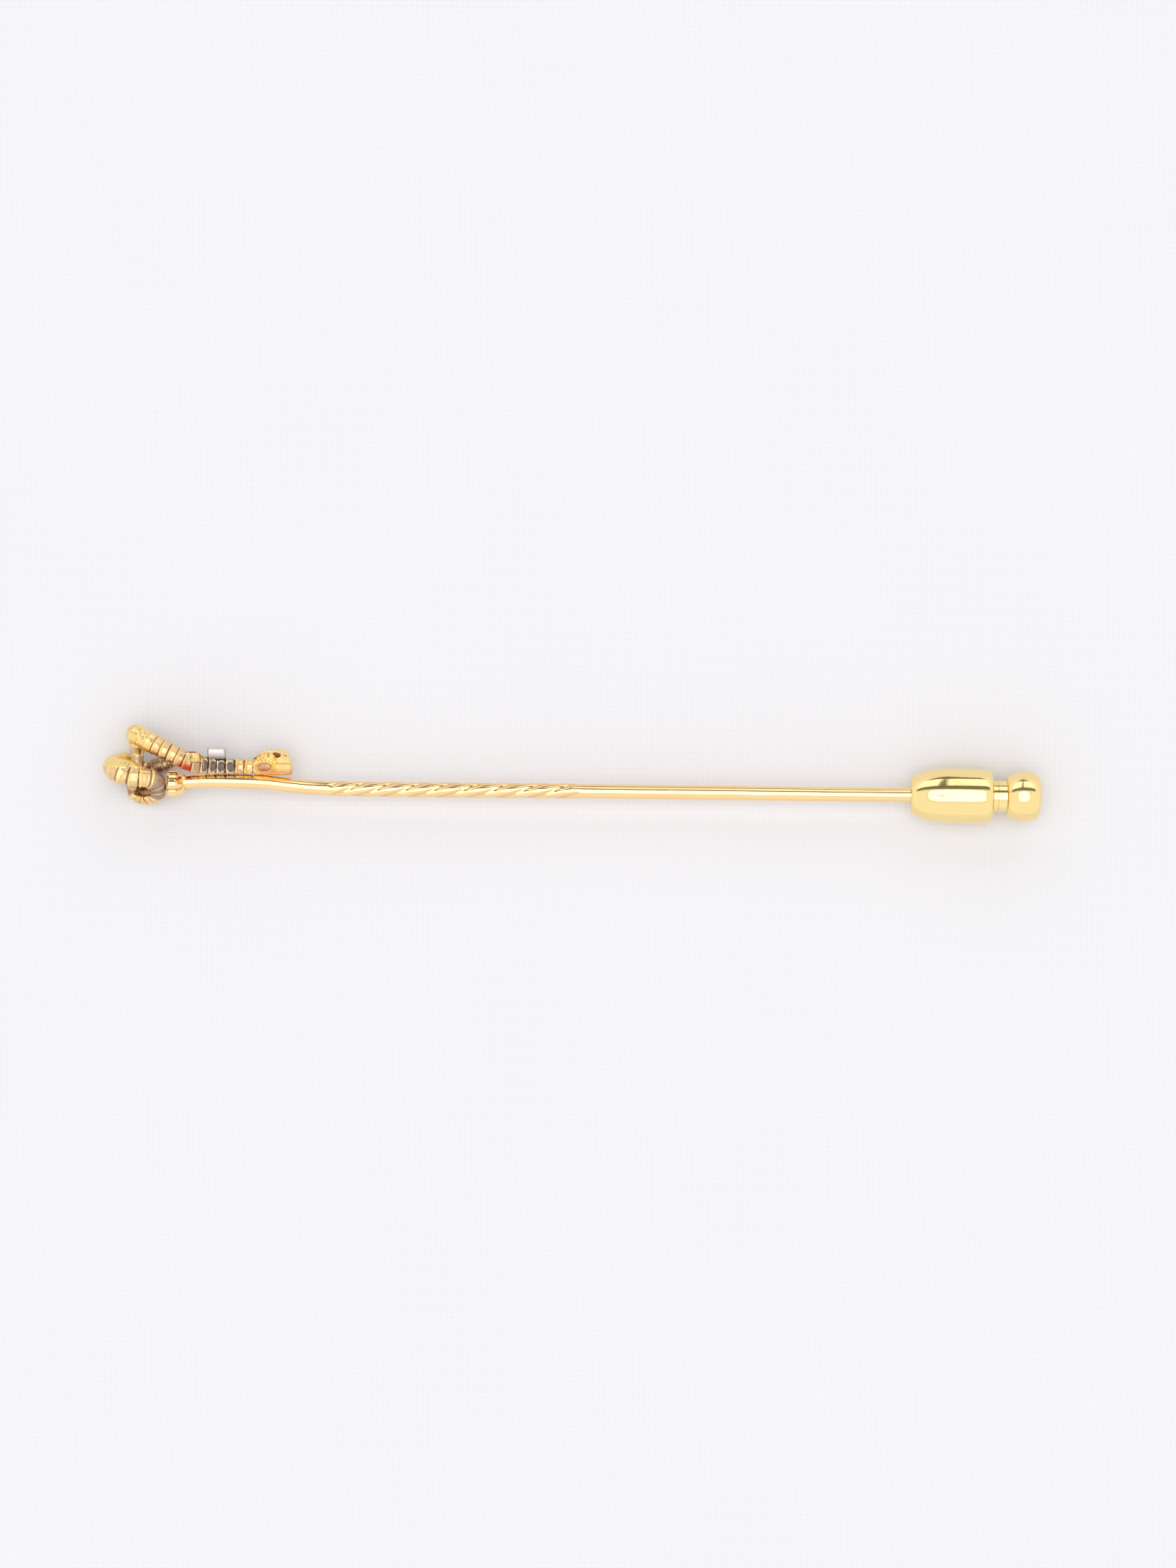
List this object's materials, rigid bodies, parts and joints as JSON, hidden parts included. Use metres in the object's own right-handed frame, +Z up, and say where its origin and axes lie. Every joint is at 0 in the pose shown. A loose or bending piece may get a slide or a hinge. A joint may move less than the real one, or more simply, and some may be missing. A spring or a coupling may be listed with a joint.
{
  "type": "tie tack",
  "caption": "Stick pin with a knotted snake set with two stones, a twisted stem, and a sprung ball clutch over its point.",
  "frame": {"origin": "under the middle of the pin, on the surface that it lies on", "axes": "+X along the stem from the snake to the clutch, +Y towards the snake's front, +Z up from the surface"},
  "size_m": [0.07, 0.0066, 0.0041],
  "materials": {
    "rosy_gold": "polished",
    "old_gold": "worn polish, dark in the recesses",
    "bright_gold": "bright plate",
    "dark_silver": "tarnished",
    "steel": "bright",
    "ruby": "polished",
    "diamond": "polished",
    "garnet": "polished"
  },
  "bodies": {
    "pin": {"pin_stem": "rosy_gold", "stem_foot": "rosy_gold", "solder_bead": "old_gold", "snake_body": "old_gold", "snake_head": "old_gold", "eye_left": "garnet", "eye_right": "garnet", "silver_sleeve": "dark_silver", "ruby_collet": "old_gold", "ruby": "ruby", "diamond_collet": "dark_silver", "diamond": "diamond"},
    "barrel": {"clutch_barrel": "bright_gold", "retaining_ring": "bright_gold"},
    "spring": {"clutch_spring": "steel"},
    "plunger": {"plunger": "bright_gold", "clutch_knob": "bright_gold"},
    "ball_1": {"grip_ball_1": "steel"},
    "ball_2": {"grip_ball_2": "steel"},
    "ball_3": {"grip_ball_3": "steel"}
  },
  "joints": [
    {"name": "clutch_slide", "type": "slide", "parent": "pin", "child": "barrel", "axis": [1, 0, 0], "range_m": [0, 0.012]},
    {"name": "knob_turn", "type": "hinge", "parent": "barrel", "child": "spring", "pos_m": [0.028, -0.00127, 0.00205], "axis": [1, 0, 0], "continuous": true},
    {"name": "knob_pull", "type": "slide", "parent": "spring", "child": "plunger", "axis": [1, 0, 0], "range_m": [0, 0.0007], "stiffness_N_per_m": 800, "springref_m": -0.0015, "deforming": ["clutch_spring"]},
    {"name": "ball_1_out", "type": "slide", "parent": "plunger", "child": "ball_1", "axis": [0, 1, 0], "range_m": [0, 0.0003]},
    {"name": "ball_2_out", "type": "slide", "parent": "plunger", "child": "ball_2", "axis": [0, -0.5, 0.866], "range_m": [0, 0.0003]},
    {"name": "ball_3_out", "type": "slide", "parent": "plunger", "child": "ball_3", "axis": [0, -0.5, -0.866], "range_m": [0, 0.0003]}
  ],
  "couplings": [
    {"joint": "ball_1_out", "follows": "knob_pull", "ratio": 0.3249},
    {"joint": "ball_2_out", "follows": "knob_pull", "ratio": 0.3249},
    {"joint": "ball_3_out", "follows": "knob_pull", "ratio": 0.3249}
  ]
}
